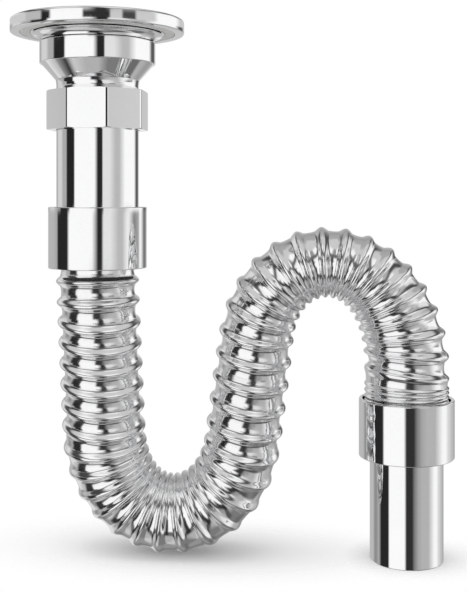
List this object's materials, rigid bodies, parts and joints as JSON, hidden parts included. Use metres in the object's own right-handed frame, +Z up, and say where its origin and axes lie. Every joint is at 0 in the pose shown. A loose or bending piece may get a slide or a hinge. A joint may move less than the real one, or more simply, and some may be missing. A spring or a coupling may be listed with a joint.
{
  "type": "flexible sink trap",
  "caption": "Flexible sink trap: drain flange, waste body and union nut over a plain tube, then a corrugated metal pipe bent into a water seal and arch, ending in a socket and outlet tube.",
  "frame": {"origin": "on the drain's axis, in the plane where the flange's rim sits on the sink", "axes": "+Z up along the drain's axis, +X from the drain towards the outlet, +Y square to the plane the pipe is bent in"},
  "size_m": [0.172, 0.0676, 0.2086],
  "materials": {
    "chrome": "polished",
    "pipe_metal": "polished",
    "rubber": "matte",
    "silicone": "satin",
    "nylon": "satin"
  },
  "bodies": {
    "drain": {"drain_flange": "chrome", "sink_gasket": "silicone"},
    "strainer_grid": {"strainer": "chrome"},
    "clamp": {"back_washer": "chrome"},
    "waste": {"waste_body": "chrome", "body_seal": "rubber", "union_seal": "rubber"},
    "slip": {"slip_ring": "nylon"},
    "nut": {"union_nut": "chrome"},
    "tail": {"inlet_tube": "chrome", "inlet_sleeve": "chrome", "inlet_seal": "rubber", "inlet_lock_ring": "nylon", "hose_down": "pipe_metal"},
    "riser": {"hose_riser": "pipe_metal"},
    "outlet": {"hose_outlet": "pipe_metal", "outlet_sleeve": "chrome", "outlet_grip_ring": "nylon", "outlet_seal": "rubber", "outlet_tube": "chrome"}
  },
  "joints": [
    {"name": "strainer_lift", "type": "slide", "parent": "drain", "child": "strainer_grid", "axis": [0, 0, 1], "range_m": [0, 0.025]},
    {"name": "clamp_slide", "type": "slide", "parent": "drain", "child": "clamp", "axis": [0, 0, -1], "range_m": [0, 0.012]},
    {"name": "body_turn", "type": "hinge", "parent": "clamp", "child": "waste", "pos_m": [0, 0, -0.012], "axis": [0, 0, -1], "range_deg": [0, 2160]},
    {"name": "ring_slide", "type": "slide", "parent": "waste", "child": "slip", "axis": [0, 0, -1], "range_m": [0, 0.0075]},
    {"name": "nut_turn", "type": "hinge", "parent": "slip", "child": "nut", "pos_m": [0, 0, -0.03], "axis": [0, 0, -1], "range_deg": [0, 1800]},
    {"name": "trap_swivel", "type": "hinge", "parent": "waste", "child": "tail", "pos_m": [0, 0, -0.0325], "axis": [0, 0, 1], "continuous": true},
    {"name": "trap_bend", "type": "hinge", "parent": "tail", "child": "riser", "pos_m": [0.02947, 0, -0.18685], "axis": [0, 1, 0], "range_deg": [-12, 15], "deforming": ["hose_down", "hose_riser"]},
    {"name": "arch_bend", "type": "hinge", "parent": "riser", "child": "outlet", "pos_m": [0.09128, 0, -0.08904], "axis": [0, 1, 0], "range_deg": [-20, 15], "deforming": ["hose_outlet"]}
  ],
  "couplings": [
    {"joint": "clamp_slide", "follows": "body_turn", "m_per_rad": 0.0003183},
    {"joint": "ring_slide", "follows": "nut_turn", "m_per_rad": 0.00023873}
  ]
}
